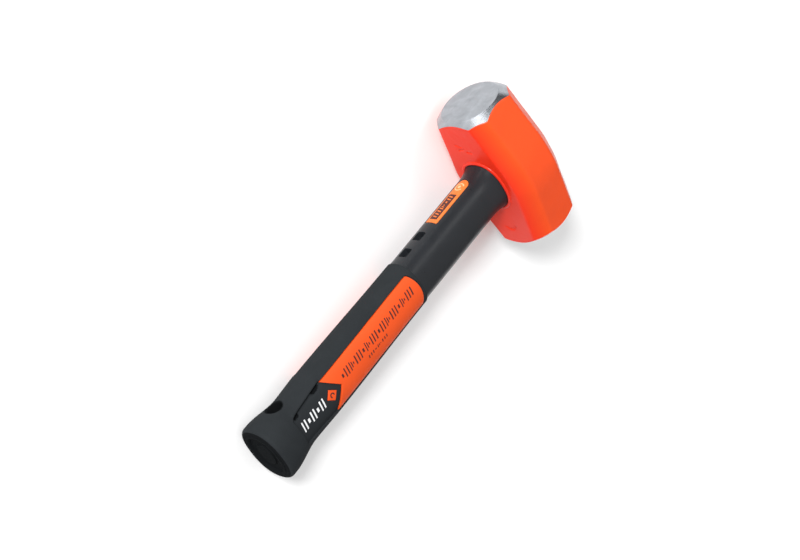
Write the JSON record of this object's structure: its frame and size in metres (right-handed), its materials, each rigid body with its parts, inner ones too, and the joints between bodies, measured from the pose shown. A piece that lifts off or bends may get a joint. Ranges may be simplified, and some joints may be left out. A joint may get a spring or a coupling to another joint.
{
  "type": "club hammer",
  "caption": "Short-handled club hammer with an octagonal forged head, steel-cored rubber handle, orange inlays and a lanyard hole.",
  "frame": {"origin": "under the middle of the bounding box, on the plane that the lower cheek's crest touches", "axes": "+X along the head towards the rear striking face, +Y along the handle towards the head, +Z out of the upper cheek"},
  "size_m": [0.111, 0.3, 0.066],
  "materials": {
    "head_paint": "gloss orange enamel over a forged surface",
    "ground_steel": "ground and polished striking faces, lightly scratched",
    "plate_steel": "zinc-plated steel plate, dull",
    "core_steel": "bare spring steel rod",
    "comb_nylon": "black glass-filled nylon",
    "shank_rubber": "smooth hard black rubber, satin",
    "grip_rubber": "fine-textured soft black rubber, matte",
    "label_orange": "satin orange moulded label",
    "inlay_orange": "satin orange soft rubber inlay",
    "badge_orange": "satin orange square inset",
    "print_white": "white pad print",
    "print_dark": "dark pad print"
  },
  "bodies": {
    "root": {"head": "head_paint", "locking_plate": "plate_steel", "shank": "shank_rubber", "grip": "grip_rubber", "rod_comb_upper": "comb_nylon", "rod_comb_lower": "comb_nylon", "core_end_plate": "plate_steel", "shank_label_front": "label_orange", "shank_label_rear": "label_orange", "side_inlay_upper": "inlay_orange", "side_inlay_lower": "inlay_orange", "badge_upper": "badge_orange", "badge_lower": "badge_orange", "core_rod_1": "core_steel", "core_rod_2": "core_steel", "core_rod_3": "core_steel", "core_rod_4": "core_steel", "core_rod_5": "core_steel", "core_rod_6": "core_steel"}
  },
  "joints": []
}
